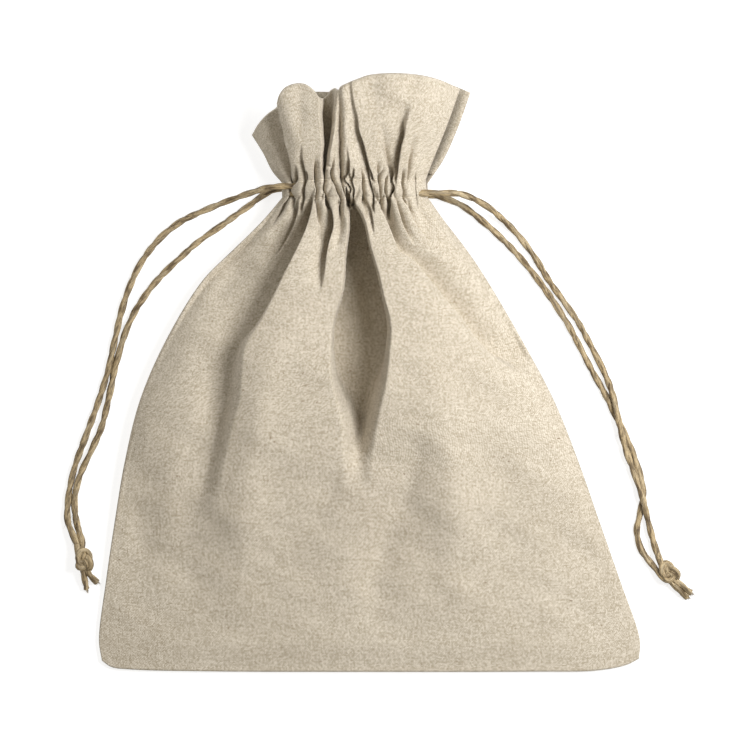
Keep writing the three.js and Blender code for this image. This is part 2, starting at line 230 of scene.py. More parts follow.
def trough(x, y, left, right, undercut):
    """A flat-bottomed hollow between two edge lines of points (x, y, depth, softness), running in
    under both lips where they are crisp. Returns how far the cloth moves in x, y and z."""
    moved = np.zeros((3, *x.shape))
    here = within(left + right, x, y, 8)
    x, y = x[here], y[here]
    from_left, vector_l, (depth_l, soft_l) = nearest(sorted(left, key=lambda p: p[1]), x, y, 2)
    from_right, vector_r, (depth_r, soft_r) = nearest(sorted(right, key=lambda p: p[1]), x, y, 2)
    inside_left = ease(from_left, -soft_l, soft_l)
    inside_right = ease(-from_right, -soft_r, soft_r)
    part = inside_left * inside_right
    under = np.zeros((2, len(x)))
    for away, vector, soft in ((from_left, vector_l, soft_l), (from_right, vector_r, soft_r)):
        crisp = undercut * part * np.exp(-np.abs(away) / 4.0) * (1 - ease(soft, 1.5, 4.0))
        under -= vector * crisp / (np.abs(away) + 0.3)
    moved[:, here] = np.stack([*under, -0.5 * (depth_l + depth_r) * part])
    return moved


# ---- cloth meshes


def grid_faces(rows, columns):
    k = np.arange(rows * columns).reshape(rows, columns)
    return np.stack([k[:-1, :-1], k[:-1, 1:], k[1:, 1:], k[1:, :-1]], axis=-1).reshape(-1, 4)


def arc_uv(grid):
    """Cloth coordinates from the lengths along the grid's rows and columns, in millimetres."""
    across = np.linalg.norm(np.diff(grid, axis=1), axis=2)
    u = np.concatenate([np.zeros((len(grid), 1)), np.cumsum(across, axis=1)], axis=1)
    u -= u[:, grid.shape[1] // 2][:, None]
    # The threads run on smoothly from row to row.
    for _ in range(60):
        u[1:-1] = 0.25 * u[:-2] + 0.5 * u[1:-1] + 0.25 * u[2:]
    upward = np.linalg.norm(np.diff(grid, axis=0), axis=2).mean(axis=1)
    v = np.concatenate([[0], np.cumsum(upward)])[:, None] * np.ones((1, grid.shape[1]))
    return np.stack([u, v], axis=-1)


def normals_of(grid):
    du = np.gradient(grid, axis=1)
    dv = np.gradient(grid, axis=0)
    n = np.cross(du, dv)
    return n / (np.linalg.norm(n, axis=2, keepdims=True) + 1e-12)


def make_mesh(name, points, faces, material, uv):
    """A smooth-shaded object from millimetres, with its cloth coordinates in a "thread" layer."""
    mesh = bpy.data.meshes.new(name)
    mesh.from_pydata((np.asarray(points) * MM).tolist(), [], [tuple(int(i) for i in f) for f in faces])
    layer = mesh.uv_layers.new(name="thread")
    loops = np.zeros(len(mesh.loops), np.int32)
    mesh.loops.foreach_get("vertex_index", loops)
    layer.data.foreach_set("uv", (np.asarray(uv) * MM)[loops].astype(np.float32).ravel())
    mesh.shade_smooth()
    mesh.materials.append(material)
    mesh.validate()
    piece = bpy.data.objects.new(name, mesh)
    bpy.context.scene.collection.objects.link(piece)
    return piece


def thick_sheet(name, grid, thickness, material):
    """Cloth of two layers: the grid as its outer face and another a thickness below it."""
    rows, columns = grid.shape[:2]
    inner = grid - normals_of(grid) * thickness
    points = np.vstack([grid.reshape(-1, 3), inner.reshape(-1, 3)])
    top = grid_faces(rows, columns)
    size = rows * columns
    k = np.arange(size).reshape(rows, columns)
    ring = np.concatenate([k[0, :-1], k[:-1, -1], k[-1, :0:-1], k[:0:-1, 0]])
    after = np.roll(ring, -1)
    rim = np.stack([after, ring, ring + size, after + size], axis=1)
    faces = np.vstack([top, top[:, ::-1] + size, rim])
    uv = arc_uv(grid).reshape(-1, 2)
    return make_mesh(name, points, faces, material, np.vstack([uv, uv]))


# ---- materials


class Nodes:
    """Short names for building a node tree."""

    def __init__(self, name):
        self.material = bpy.data.materials.new(name)
        self.material.use_nodes = True
        self.tree = self.material.node_tree
        self.shader = self.tree.nodes["Principled BSDF"]

    def new(self, kind):
        return self.tree.nodes.new("ShaderNode" + kind)

    def put(self, node, slot, value):
        socket = node.inputs[slot]
        if isinstance(value, bpy.types.NodeSocket):
            self.tree.links.new(value, socket)
        else:
            socket.default_value = value

    def math(self, kind, a, b=0.0, c=0.0):
        node = self.new("Math")
        node.operation = kind
        for slot, value in enumerate((a, b, c)):
            self.put(node, slot, value)
        return node.outputs[0]

    def times(self, a, b):
        return self.math("MULTIPLY", a, b)

    def noise(self, vector, scale=1.0, detail=1.0, rough=0.5):
        node = self.new("TexNoise")
        self.put(node, "Vector", vector)
        self.put(node, "Scale", scale)
        self.put(node, "Detail", detail)
        self.put(node, "Roughness", rough)
        return node.outputs["Fac"]

    def scale(self, vector, xyz):
        node = self.new("VectorMath")
        node.operation = "MULTIPLY"
        self.put(node, 0, vector)
        self.put(node, 1, xyz)
        return node.outputs[0]

    def combine(self, x, y, z=0.0):
        node = self.new("CombineXYZ")
        for slot, value in enumerate((x, y, z)):
            self.put(node, slot, value)
        return node.outputs[0]

    def ramp(self, fac, low, high):
        node = self.new("MapRange")
        node.interpolation_type = "SMOOTHSTEP"
        self.put(node, "Value", fac)
        self.put(node, "From Min", low)
        self.put(node, "From Max", high)
        return node.outputs["Result"]

    def mix(self, fac, a, b):
        node = self.new("Mix")
        node.data_type = "RGBA"
        for slot, value in ((0, fac), (6, a), (7, b)):
            self.put(node, slot, (*value, 1) if isinstance(value, tuple) else value)
        return node.outputs[2]

    def uv(self):
        node = self.new("UVMap")
        node.uv_map = "thread"
        split = self.new("SeparateXYZ")
        self.tree.links.new(node.outputs[0], split.inputs[0])
        return node.outputs[0], split.outputs[0], split.outputs[1]

    def bump(self, height, strength, depth):
        node = self.new("Bump")
        self.put(node, "Strength", strength)
        self.put(node, "Distance", depth)
        self.put(node, "Height", height)
        self.put(self.shader, "Normal", node.outputs[0])

    def finish(self, colour, roughness):
        self.put(self.shader, "Base Color", colour)
        self.put(self.shader, "Roughness", roughness)
        return self.material


THREAD_PITCH = 0.46 * MM  # distance between neighbouring threads of the weave
PALE_FIBRE = (0.665, 0.605, 0.505)
TAN_FIBRE = (0.39, 0.337, 0.252)
# Painted shade for the gaps between threads, and the dark end of the broad uneven tone.
PAINTED_GAP_SHADE_AND_TONE = (0.24, 0.19, 0.12)
FLECK = (0.15, 0.09, 0.045)


def linen_material(name, tint=(1.0, 1.0, 1.0)):
    """Plain-woven natural linen and cotton: threads of uneven thickness and shade, with flecks."""
    n = Nodes(name)
    uv, u, v = n.uv()
    shades = (PALE_FIBRE, TAN_FIBRE, PAINTED_GAP_SHADE_AND_TONE)
    pale, tan, gap_shade_and_tone = (tuple(c * t for c, t in zip(shade, tint)) for shade in shades)

    # The threads wander a little to either side as they run.
    wander = n.noise(n.scale(uv, (90, 90, 1)))
    shake = n.noise(uv, 900.0)
    drift = n.math("MULTIPLY_ADD", wander, 1.6, n.times(shake, 0.15))
    warp = n.math("MULTIPLY_ADD", u, 1 / THREAD_PITCH, drift)
    drift = n.math("MULTIPLY_ADD", wander, -1.6, n.times(shake, -0.15))
    weft = n.math("MULTIPLY_ADD", v, 1 / THREAD_PITCH, drift)
    warp_number = n.math("FLOOR", warp)
    weft_number = n.math("FLOOR", weft)

    def yarn(number, run, offset):
        """One thread's shade along its run, in long slubs and short nubs."""
        slubs = n.noise(n.combine(n.times(number, 3.37), n.times(run, 120), offset), detail=2.0, rough=0.6)
        nubs = n.noise(n.combine(n.times(number, 4.91), n.times(run, 1300), offset))
        return n.math("MULTIPLY_ADD", nubs, 0.6, n.times(slubs, 0.4))

    warp_shade = yarn(warp_number, v, 0.0)
    weft_shade = yarn(weft_number, u, 7.0)

    # Each thread is a round ridge that goes over one crossing and under the next.
    warp_ridge = n.math("SINE", n.times(warp, math.pi))
    weft_ridge = n.math("SINE", n.times(weft, math.pi))
    warp_lift = n.times(warp_ridge, n.math("COSINE", n.times(weft, math.pi)))
    weft_lift = n.times(weft_ridge, n.math("COSINE", n.times(warp, math.pi)))
    warp_top = n.math("ADD", n.math("ABSOLUTE", warp_ridge), n.times(warp_lift, 0.4))
    weft_top = n.math("SUBTRACT", n.math("ABSOLUTE", weft_ridge), n.times(weft_lift, 0.4))
    height = n.math("MAXIMUM", warp_top, weft_top)

    # The colour comes from both threads and from the crossing itself.
    crossing = n.noise(n.combine(n.times(warp_number, 3.91), n.times(weft_number, 5.23), 3.0), detail=0.0)
    shade = n.math("MULTIPLY_ADD", warp_shade, 0.36, n.times(weft_shade, 0.36))
    shade = n.math("MULTIPLY_ADD", crossing, 0.28, shade)
    colour = n.mix(n.ramp(shade, 0.39, 0.61), tan, pale)
    # Painted shade: the gaps between threads are darkened in the colour, as shade falls in them.
    colour = n.mix(n.times(n.ramp(height, 0.95, 0.35), 0.38), colour, gap_shade_and_tone)
    # Broad uneven tone over the cloth.
    broad = n.noise(uv, 26.0, 3.0, 0.55)
    colour = n.mix(n.times(n.ramp(broad, 0.35, 0.75), 0.10), colour, gap_shade_and_tone)
    # Flecks of bark and darker fibre, lying along the threads.
    for stretch, scale, edge in (((1, 0.4, 1), 1250, 0.74), ((0.4, 1, 1), 1100, 0.745)):
        fleck = n.noise(n.scale(uv, stretch), scale, rough=0.4)
        colour = n.mix(n.times(n.ramp(fleck, edge, edge + 0.05), 0.7), colour, FLECK)

    n.put(n.shader, "Specular IOR Level", 0.15)
    n.put(n.shader, "Sheen Weight", 0.12)
    n.put(n.shader, "Sheen Roughness", 0.6)
    fuzz = n.noise(uv, 5200.0, 2.0, 0.6)
    slub = n.math("ADD", n.times(warp_shade, 0.6), n.times(weft_shade, 0.6))
    n.bump(n.math("ADD", n.math("MULTIPLY_ADD", fuzz, 0.5, height), slub), 0.35, 0.12 * MM)
    return n.finish(colour, 0.95)


def thread_material(name):
    """Spun sewing thread, with its twist as fine slanting stripes."""
    n = Nodes(name)
    _, u, v = n.uv()
    twist = n.math("SINE", n.math("MULTIPLY_ADD", u, 7000, n.times(v, 9000)))
    return n.finish(n.mix(n.ramp(twist, -1, 1), (0.5, 0.43, 0.32), (0.74, 0.68, 0.56)), 0.7)


def twine_material(name):
    """Brown hemp: fibres run along the ply in light and dark streaks, with a slight waxy shine."""
    n = Nodes(name)
    _, u, v = n.uv()

    def fibres(along_ply, across_ply, detail, rough, offset=0.0):
        return n.noise(n.combine(n.times(u, along_ply), n.times(v, across_ply), offset), 1.0, detail, rough)

    streak = fibres(150, 2600, 3.0, 0.65)
    fine = fibres(700, 9000, 2.0, 0.6)
    patchy = fibres(60, 900, 2.0, 0.5, 3.0)
    colour = n.mix(n.ramp(streak, 0.38, 0.62), (0.10, 0.068, 0.034), (0.40, 0.305, 0.17))
    colour = n.mix(n.times(n.ramp(patchy, 0.45, 0.68), 0.6), colour, (0.56, 0.465, 0.30))
    colour = n.mix(n.times(n.ramp(fine, 0.48, 0.7), 0.6), colour, (0.06, 0.036, 0.016))
    n.put(n.shader, "Specular IOR Level", 0.35)
    n.bump(n.math("ADD", streak, n.times(fine, 0.5)), 0.6, 0.15 * MM)
    return n.finish(colour, 0.62)


LINEN = linen_material("linen")
LINEN_INSIDE = linen_material("linen_inside", (0.97, 0.965, 0.95))
THREAD = thread_material("thread")
TWINE = twine_material("twine")

# ---- the outline in plan, in millimetres

LEFT_SEAM = [
    (-101.2, -108.2), (-102.3, -100.4), (-99.6, -77.8), (-96.3, -55.3), (-92.5, -32.7), (-86.9, -10.2),
    (-77.1, 12.4), (-63.2, 35), (-51.9, 46.2), (-40.6, 57.5), (-33.4, 66),
]
RIGHT_SEAM = [
    (100.8, -107.4), (101.1, -100.4), (93.6, -77.8), (85.7, -55.3), (77.8, -32.7), (68.8, -10.2),
    (56.8, 12.4), (43.6, 35), (36.1, 46.2), (27.4, 57.5), (21.4, 66),
]
BOTTOM = [
    (-101.2, -108.2), (-97.5, -110.6), (-90, -111.5), (-60, -112.2), (0, -112.4), (60, -112.3),
    (84.6, -111.9), (96, -109.8), (100.8, -107.4),
]
NECK_Y = 66.0
RUFFLE_Y = 72.6
NECK = [(-33.4, NECK_Y), (-15, NECK_Y - 0.5), (5, NECK_Y - 0.4), (21.4, NECK_Y)]
NECK_UPPER = [(-33.6, RUFFLE_Y - 1), (-15, RUFFLE_Y + 0.5), (5, RUFFLE_Y + 0.2), (20.6, RUFFLE_Y)]
RIM = [
    (-44.9, 89.5), (-42.9, 93.5), (-40, 97.3), (-35.9, 100.7), (-34.6, 104.5), (-32.6, 107.2), (-29.1, 108.8),
    (-25.1, 108.8), (-21.6, 106.5), (-19.3, 103.6), (-18.2, 103.3), (-16.7, 104.2), (-15.3, 106.5),
    (-13.9, 107.2), (-12.4, 106.4), (-11.6, 107.7), (-9, 109.1), (-5.5, 110.5), (-0.9, 112.1), (6, 112.8),
    (12.9, 112.7), (19.8, 111.9), (26.1, 110.2), (33.6, 106.9),
]
RUFFLE_LEFT = [(-33.6, RUFFLE_Y - 1), (-37.2, 75.9), (-40.6, 82.6), (-44.9, 89.5)]
RUFFLE_RIGHT = [(20.6, RUFFLE_Y), (23.3, 79.7), (28.4, 92.4), (33.6, 106.9)]

# Pleats across the channel: x above it, at its upper and lower stitching and below it, and the depth.
PLEATS = [
    (-30.5, -30.2, -31, -36, 2.2), (-27.6, -27.4, -28.6, -29.5, 3.4), (-24.6, -23.8, -25.2, -27.2, 3.8),
    (-22.2, -21.3, -21.6, -20, 3.6), (-18.8, -18, -17, -16.7, 4.6), (-15.8, -14.8, -12.8, -12.4, 3.8),
    (-12, -11.6, -9.9, -9.6, 4.4), (-8.8, -9.4, -7.7, -7, 4.2), (-6.2, -6.6, -5.4, -4.4, 3.9),
    (-3.6, -3.8, -3.3, -2.8, 3.9), (-0.9, -0.7, 0.6, 1.4, 4.6), (4.2, 2.6, 3.2, 3.8, 3.3),
    (6.6, 5.5, 6, 7.2, 3.9), (8.5, 8.3, 8.3, 8.3, 4.4), (12.2, 11.3, 11.6, 14.5, 3.4),
    (17.6, 16.8, 17.2, 19.5, 1),
]


# Columns across a panel, and rows up its body, its channel and its ruffle.
FRONT_GRID = (330, 240, 28, 90)
BACK_GRID = (240, 150, 22, 56)
BACK_CREASES = 16
LOWEST_FRONT = 1.9  # the front's outer face never lies lower
LOWEST_BACK = 0.6  # nor the back's inner face, in a hollow
FLAT_BACK = 0.68  # height of the back's inner face where it lies flat
SEAM_GAP = 0.62  # between the two panels' faces at a side seam
LAYERS = 1.1  # front cloth lying on back cloth, from face to face


def edge_height(rise):
    """Height of the front's outer face at its side edges."""
    return 2.0 + 4.6 * ease(np.clip(rise, 0, 1), 0.0, 0.55) + 4.0 * ease(rise, 0.8, 1.0)


def front_height(across, rise):
    """Height of the front's outer face before its folds. across runs from -1 at the left edge to 1
    at the right, rise from 0 at the bottom to 1 at the neck, to 2 over the channel and to 3 at the rim."""
    low = np.clip(rise, 0, 1)
    up = np.clip(rise - 2, 0, 1)
    crown = 1.8 * ease(low, 0, 0.06) + 18.0 * ease(low, 0.04, 0.66) - 7.0 * ease(rise, 0.72, 1.0)
    shape = 1 - np.abs(across) ** (2.2 + 1.6 * low)
    z = edge_height(rise) + crown * np.clip(shape, 0, 1) ** 0.8
    # The ruffle opens upwards, its left flank hanging lower.
    flank = 1 - 0.75 * ease(-across, 0.55, 1.0) - 0.3 * ease(across, 0.7, 1.0)
    return z + (up * (8.5 * flank - 3.0) + up * (1 - up) * 6.0 * flank)


def front_folds(x, y, rise):
    """How far the folds below the neck move the cloth in x, y and z."""
    low = np.clip(rise, 0, 1)
    # The big hollow below the neck, between two flutes that overhang it.
    moved = trough(
        x, y,
        [(-8.6, 62.5, 6, 0.5), (-8.8, 54, 17, 0.5), (-9.6, 43, 21, 0.6), (-10.9, 30.5, 22.5, 0.7),
         (-12.9, 20.8, 23, 0.9), (-14.2, 11, 23, 1.4), (-12.8, 0, 23, 2.4), (-9.8, -10, 21.5, 3.4),
         (-7.8, -20, 17, 4), (-6.6, -29, 10, 4.6), (-5.9, -37, 4, 5), (-5.6, -46, 0, 6)],
        [(-5.4, 62.5, 6, 0.5), (-2.7, 55.5, 17, 0.5), (0.7, 44.4, 21, 0.6), (4.2, 30.5, 22.5, 0.7),
         (6, 22.2, 23, 0.9), (6.5, 15.3, 23, 1.2), (5, 6, 23, 2), (2.4, -4, 22, 3.2),
         (-0.2, -15, 19, 4), (-2.6, -27, 11, 4.6), (-4.2, -37, 4, 5), (-5.2, -46, 0, 6)],
        undercut=3.2,
    )
    for hollow, line in (
        # The long valley under the left shoulder, below the crisp edge of the first flute.
        ("left", [(-22, 64, 5, 2.2), (-22.6, 60, 9, 4), (-24.4, 54.5, 11, 6.5), (-27.9, 47.1, 12, 10),
                  (-32, 38.8, 13, 13, 1.3), (-36.4, 30.5, 13, 15.5, 1.7), (-42.6, 20.8, 12, 15.5, 2.4),
                  (-48.5, 10, 10.5, 14, 4), (-51, 0, 9.5, 14, 6), (-52, -10, 9, 14, 7),
                  (-54.5, -20, 7, 13, 7), (-57.5, -33, 4.5, 12, 8),
                  (-60, -46, 2.6, 12, 9), (-61, -60, 0, 13, 10)]),
        # The short deep valley beside the flute that edges the hollow.
        ("left", [(-15.6, 64, 4, 1.2), (-14.6, 59, 8, 2), (-14.2, 54.5, 9.5, 2.8), (-15.4, 48, 8, 3.6),
                  (-17, 40, 5, 4.6), (-18.6, 31, 0, 5.5)]),
        ("right", [(-20.6, 65, 2, 0.9), (-20, 60, 4.5, 1.4), (-19.8, 54, 3, 2), (-19.9, 48, 0, 2.5)]),
        # The flutes right of the hollow.
        ("right", [(0.6, 66, 3, 1), (3.3, 62.4, 6.5, 1.6), (6.8, 55.5, 7.5, 2.4), (9.5, 48.5, 5, 3.6),
                   (11.8, 43, 0, 4.5)]),
        ("left", [(-2.2, 65.5, 3, 0.8), (-0.4, 61, 4.5, 1.1), (0.8, 57, 3, 1.5), (2, 52, 0, 2)]),
        ("right", [(9.2, 65, 2.5, 0.9), (11.2, 60, 4.8, 1.5), (13.6, 54, 3.6, 2.2), (16.2, 48, 0, 3)]),
        ("right", [(13.6, 65, 1.5, 1), (15.8, 60, 3.2, 1.6), (19, 53.4, 2.6, 2.4), (22.4, 47, 0, 3)]),
        # The step down to the dented right flank.
        ("right", [(9, 46.5, 0, 3), (13.5, 43.6, 4.5, 4), (19.7, 38, 7.5, 6), (26.5, 30.4, 8.5, 7),
                   (34.1, 20.1, 9, 8), (42.7, 10, 9, 8, 1.6), (49.9, 4, 6, 9, 3), (57, -3, 0, 10, 6)]),
        # Folds that fan out from the left end of the neck.
        ("left", [(-27.2, 65.5, 2, 1), (-28.6, 61, 4.2, 1.6), (-31.6, 55, 4.4, 2.4), (-36, 48, 3.2, 3.6),
                  (-42, 41, 0, 5)]),
        ("left", [(-30.6, 65.5, 1.5, 0.8), (-33.4, 60.5, 2.6, 1.4), (-37.4, 55.4, 0, 2)]),
    ):
        moved += tuck(x, y, line, hollow)
    for line in (
        [(-12, 64, 3, 0.8), (-11.6, 59, 3.4, 1.1), (-11.9, 52, 2, 1.5), (-12.6, 44, 0, 2)],
        [(6.2, 65, 3, 0.9), (7.9, 59.5, 3.2, 1.2), (9.8, 54, 0, 1.6)],
        [(18, 64, 1.5, 1.2), (20.8, 58, 2.6, 1.8), (24, 51.5, 0, 2.6)],
        # Soft folds of the left shoulder and the left side.
        [(-40, 53, 0, 3), (-47, 44, 2.2, 4.5), (-56, 32, 2.6, 6), (-66, 16, 0, 8)],
        [(-66, -20, 0, 9), (-68, -50, 2.2, 11), (-70, -92, 0, 12)],
        [(-80, -20, 0, 9), (-84, -55, 2, 10), (-88, -92, 0, 10)],
        # Broad hollows lower down.
        [(18, -22, 0, 7), (14, -42, 2.8, 8), (8, -58, 3.6, 9), (2, -74, 3.2, 9), (4, -98, 0, 9)],
        [(-14, -36, 0, 5), (-16, -47, 1.8, 6), (-26, -58, 1.2, 6), (-36, -66, 0, 7)],
        [(40, -5, 0, 10), (50, -45, 1.8, 13), (60, -90, 0, 14)],
    ):
        moved[2] += groove(x, y, line)
    # Broad swells between them.
    for line in (
        [(-30, 24, 0, 8), (-40, -4, 2, 9), (-46, -36, 3, 10), (-48, -66, 2.6, 11), (-50, -96, 0, 11)],
        [(18, 14, 0, 9), (26, -18, 1.8, 10), (31, -48, 3.2, 11), (30, -74, 3, 12), (34, -100, 0, 12)],
    ):
        moved[2] -= groove(x, y, line)
    return moved * ease(low, 0, 0.1)


def ruffle_folds(x, y, rise):
    """How far the ruffle's folds move the cloth in x, y and z."""
    up = np.clip(rise - 1.6, 0, 1)
    # The dark gap between the first lobe and the next.
    moved = trough(
        x, y,
        [(-18.6, 71, 3, 0.4), (-18.2, 78, 8, 0.6), (-18.2, 90, 12, 1), (-18.4, 99, 13, 1.3),
         (-18.7, 112, 12, 1.6)],
        [(-17.6, 71, 3, 0.4), (-16.6, 78, 8, 0.6), (-15, 90, 12, 1), (-13.9, 99, 13, 1.3),
         (-13, 112, 12, 1.6)],
        undercut=1.6,
    )
    for hollow, line in (
        # The wide lobe lies over the third lobe, more towards the channel.
        ("left", [(0.9, 73, 6, 0.9, 0.7), (-0.9, 79, 7.5, 1.8, 0.7), (-2.8, 86.5, 5.5, 2.6, 0.8),
                  (-4.9, 94.5, 3, 3, 1), (-6.4, 102, 1.8, 3, 1.2), (-8, 111, 0.9, 3, 1.4)]),
        # The left flank hangs below the first lobe.
        ("left", [(-29, 72, 3, 1.4), (-30.4, 79, 6.5, 3), (-33, 90, 7.5, 5), (-35, 99, 7, 6.5),
                  (-36.4, 108, 6, 7)]),
        # Valleys at the foot of the wide lobe.
        ("right", [(6.8, 72, 3, 1), (6.6, 77, 6, 1.6, 1.2), (4.8, 83, 5, 2.4, 2), (3.4, 88, 2.4, 3.2, 3),
                   (2, 94, 0, 3, 4)]),
        ("left", [(9.8, 72, 4, 1), (10.6, 79, 7.5, 2), (12, 87, 7, 3.2, 1.2), (13, 94, 4, 4, 2.4),
                  (14.8, 102, 0, 5, 4)]),
        ("right", [(13, 72, 2.5, 0.9), (13.8, 77.5, 4.2, 1.3), (14.6, 84, 2.4, 1.8), (15.6, 90, 0, 2.4)]),
        # Small tucks at the foot of the first two lobes.
        ("left", [(-24.4, 72, 3, 0.9), (-24.8, 76, 4, 1.3), (-25.4, 81, 1.8, 1.8), (-26, 86, 0, 2)]),
        ("right", [(-22, 72, 2.4, 0.8), (-21.6, 76, 3.2, 1.1), (-21.4, 80.5, 0, 1.5)]),
        ("right", [(-15.4, 72, 2.6, 0.7), (-15.2, 76, 3.6, 1), (-14.6, 81, 1.6, 1.3), (-14.2, 86, 0, 1.6)]),
        ("left", [(-7.4, 72, 3, 0.8), (-7.9, 76, 3.8, 1.1), (-8.2, 81, 1.4, 1.5), (-8.6, 86, 0, 1.6)]),
        ("right", [(2.4, 72, 2.4, 0.8), (2, 76, 3.2, 1.1), (1.6, 80, 0, 1.6)]),
    ):
        moved += tuck(x, y, line, hollow, undercut=0.26, lip=0.7)
    for line in (
        # The narrow furrow between the second lobe and the third.
        [(-11.4, 71, 3.5, 0.8), (-11.5, 78, 5, 1), (-11.8, 92, 4.5, 1.1), (-12, 104, 3, 1.1),
         (-12.2, 112, 2.2, 1.1)],
        # Soft waves in the wide lobe and the first one.
        [(18, 74, 0.4, 1.6), (20.2, 82, 1.8, 2.6), (23.4, 93, 1.6, 4), (27.6, 108, 1.2, 5)],
        [(2, 92, 0, 4), (1, 104, 1.2, 5), (0, 114, 1.4, 6)],
        [(12, 98, 0, 3), (15, 106, 0.9, 4), (17, 114, 1, 5)],
        [(-26, 86, 0, 2.5), (-26.6, 96, 0.8, 3), (-27, 108, 0.6, 3)],
    ):
        moved[2] += groove(x, y, line)
    return moved * ease(up, 0, 0.6)


def pleat_folds(x, y):
    """How far the pleats across the channel move the cloth in x, y and z."""
    rng = np.random.default_rng(17)
    moved = np.zeros((3, *x.shape))
    for above, upper, lower, below, depth in PLEATS:
        sway = rng.normal(0, 0.75)
        up_reach, down_reach = rng.uniform(3.5, 8.5), rng.uniform(5, 11)
        line = [
            (above, RUFFLE_Y + up_reach, 0, 1.3),
            (0.6 * upper + 0.4 * above, RUFFLE_Y + 2.4, 0.8 * depth, 1.0),
            (upper, RUFFLE_Y, 1.25 * depth, 0.85),
            (0.5 * (upper + lower) + sway, NECK_Y + 3.3, 1.05 * depth, 0.95),
            (lower, NECK_Y, 1.25 * depth, 0.85),
            (0.5 * (lower + below), NECK_Y - 3.2, 0.9 * depth, 1.1),
            (below, NECK_Y - down_reach, 0, 1.7),
        ]
        moved += tuck(x, y, line, "right" if rng.random() < 0.5 else "left", undercut=0.22, lip=0.45)
    # Short diagonal folds caught between the pleats.
    for _ in range(15):
        foot, top = rng.uniform(-29, 17), rng.uniform(0.8, 2.6) * rng.choice([-1, 1])
        low_y = rng.uniform(NECK_Y - 5, NECK_Y + 2)
        line = [(foot, low_y, 0, 0.5), (foot + 0.35 * top, low_y + 2, 1.1, 0.55),
                (foot + 0.7 * top, low_y + 4, 1.0, 0.55), (foot + top, low_y + 6.5, 0, 0.5)]
        moved[2] += groove(x, y, line)
    # The stitches pull the cloth in, unevenly, and the channel puffs up a little between them.
    pull = 0.55 + 0.45 * wobble_field(x, y, 19, 7)
    for row in (NECK_Y, RUFFLE_Y):
        moved[2] -= 0.7 * pull * np.exp(-(((y - row) / 0.9) ** 2))
    moved[2] += 0.7 * np.exp(-(((y - 0.5 * (NECK_Y + RUFFLE_Y)) / 2.4) ** 2))
    return moved


def wobble_field(x, y, seed, size):
    """A smooth uneven field of about unit height, repeating about every size millimetres."""
    rng = np.random.default_rng(seed)
    total = np.zeros(x.shape)
    for _ in range(9):
        turn, phase = rng.uniform(0, 2 * math.pi, 2)
        wave = 2 * math.pi / (size * rng.uniform(0.6, 1.7))
        total += np.sin((x * math.cos(turn) + y * math.sin(turn)) * wave + phase)
    return total / 3


def cloth_grid(left_ruffle, right_ruffle, rim, columns, body_rows, channel_rows, ruffle_rows):
    """The plan of a whole panel with its ruffle, how far up each point is, and how far across."""
    body = patch(LEFT_SEAM, RIGHT_SEAM, BOTTOM, NECK, body_rows, columns)
    upper = [left_ruffle[0], *NECK_UPPER[1:-1], right_ruffle[0]]
    channel_left, channel_right = [LEFT_SEAM[-1], left_ruffle[0]], [RIGHT_SEAM[-1], right_ruffle[0]]
    channel = patch(channel_left, channel_right, NECK, upper, channel_rows, columns)
    ruffle = patch(left_ruffle, right_ruffle, upper, rim, ruffle_rows, columns)
    plan = np.vstack([body, channel[1:], ruffle[1:]])
    body_rise = np.linspace(0, 1, body_rows)
    channel_rise = np.linspace(1, 2, channel_rows)[1:]
    ruffle_rise = np.linspace(2, 3, ruffle_rows)[1:]
    rise = np.concatenate([body_rise, channel_rise, ruffle_rise])[:, None] * np.ones((1, columns))
    across = np.linspace(-1, 1, columns)[None, :] * np.ones((len(plan), 1))
    return plan[..., 0], plan[..., 1], rise, across


def front_place(x, y, rise, across):
    """Where each point of the front's outer face lies."""
    inside = 1 - np.abs(across)
    # The fold lines waver a little, and the folds fade out at the side seams.
    off_seam = ease(inside, 0, 0.03)
    pleat_x = x + 0.45 * ease(rise, 0.72, 0.95) * wobble_field(x, y, 3, 9)
    moved = front_folds(x + 0.5 * wobble_field(x, y, 4, 16), y, rise) * off_seam
    moved += ruffle_folds(x + 0.2 * wobble_field(x, y, 5, 11), y, rise) * (0.25 + 0.75 * off_seam)
    moved += pleat_folds(pleat_x, y) * ease(inside, 0, 0.02)
    z = front_height(across, rise) + moved[2]
    # The cloth is never quite smooth.
    uneven = 0.20 * wobble_field(x, y, 11, 14) + 0.5 * wobble_field(x, y, 12, 38)
    z += uneven * ease(inside, 0, 0.1) * ease(rise, 0, 0.15)
    # The rim is a fold, so it rounds over.
    z -= 0.9 * ease(rise, 2.975, 3.0) ** 2
    return x + moved[0], y + moved[1], np.maximum(z, LOWEST_FRONT)


def as_seen(grid):
    """The plan is as seen from above, so higher points lie a little nearer the middle of the view."""
    nearer = 1 - (grid[..., 2:] - MIDDLE_Z / MM) * MM / (CAMERA_HEIGHT - MIDDLE_Z)
    middle = np.array(VIEW_CENTRE) / MM
    return np.concatenate([middle + (grid[..., :2] - middle) * nearer, grid[..., 2:]], axis=2)


def front_surface():
    """The front's outer face, and the rise of each of its points."""
    x, y, rise, across = cloth_grid(RUFFLE_LEFT, RUFFLE_RIGHT, RIM, *FRONT_GRID)
    return as_seen(np.dstack(front_place(x, y, rise, across))), rise


BACK_LEFT = [(-33.2, RUFFLE_Y - 1), (-36.4, 76), (-39.6, 82.6), (-43.6, 89.6)]
BACK_RIGHT = [(21.2, 71.1), (27.3, 80.3), (32.5, 91.8), (37.4, 105.4)]
BACK_RIM = [
    (-43.6, 89.6), (-39, 96), (-32, 103), (-24, 105.5), (-10, 106), (6, 110.2), (20, 110.6), (30, 108.4),
    (37.4, 105.4),
]


